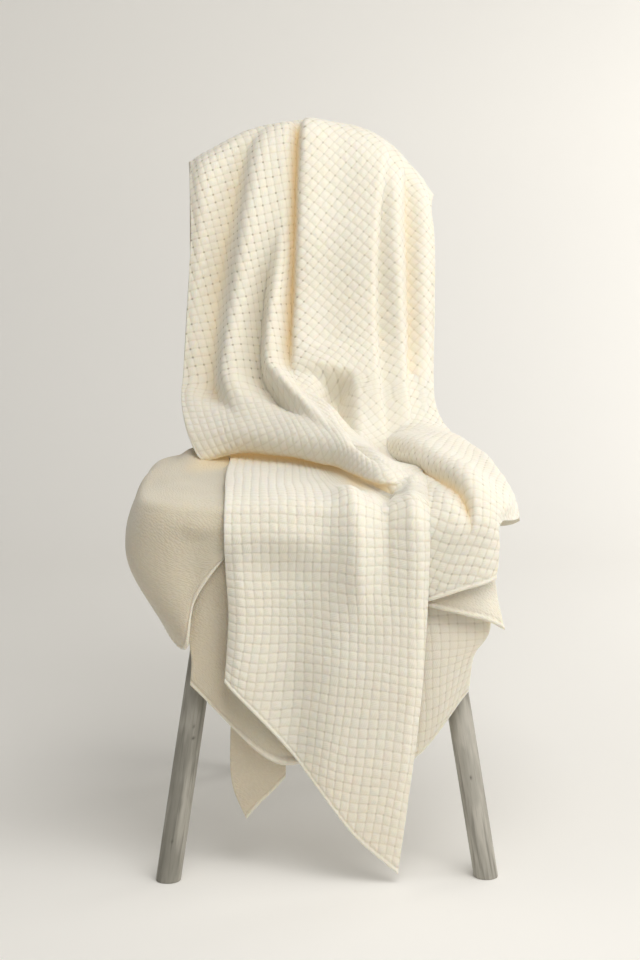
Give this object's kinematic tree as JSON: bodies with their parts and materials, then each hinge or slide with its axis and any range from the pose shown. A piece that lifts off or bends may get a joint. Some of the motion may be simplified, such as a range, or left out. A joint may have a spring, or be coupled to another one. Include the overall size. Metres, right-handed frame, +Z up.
{
  "type": "knitted blanket draped over a chair",
  "caption": "Ivory basket-stitch knitted blanket thrown over a plain grey wooden chair, hanging in soft folds over its back and seat.",
  "frame": {"origin": "on the floor, under the middle of the whole outline", "axes": "+Z up, the chair's front and the blanket's hanging corner face -Y, +X to the right seen from the front"},
  "size_m": [0.4784, 0.5797, 0.9143],
  "materials": {
    "knit": "soft matte wool, knitted in a raised basket stitch",
    "grey_wood": "matte weathered grey"
  },
  "bodies": {
    "root": {"blanket": "knit", "seat": "grey_wood", "back_board": "grey_wood", "leg_front_left": "grey_wood", "leg_front_right": "grey_wood", "leg_rear_left": "grey_wood", "leg_rear_right": "grey_wood"}
  },
  "joints": []
}
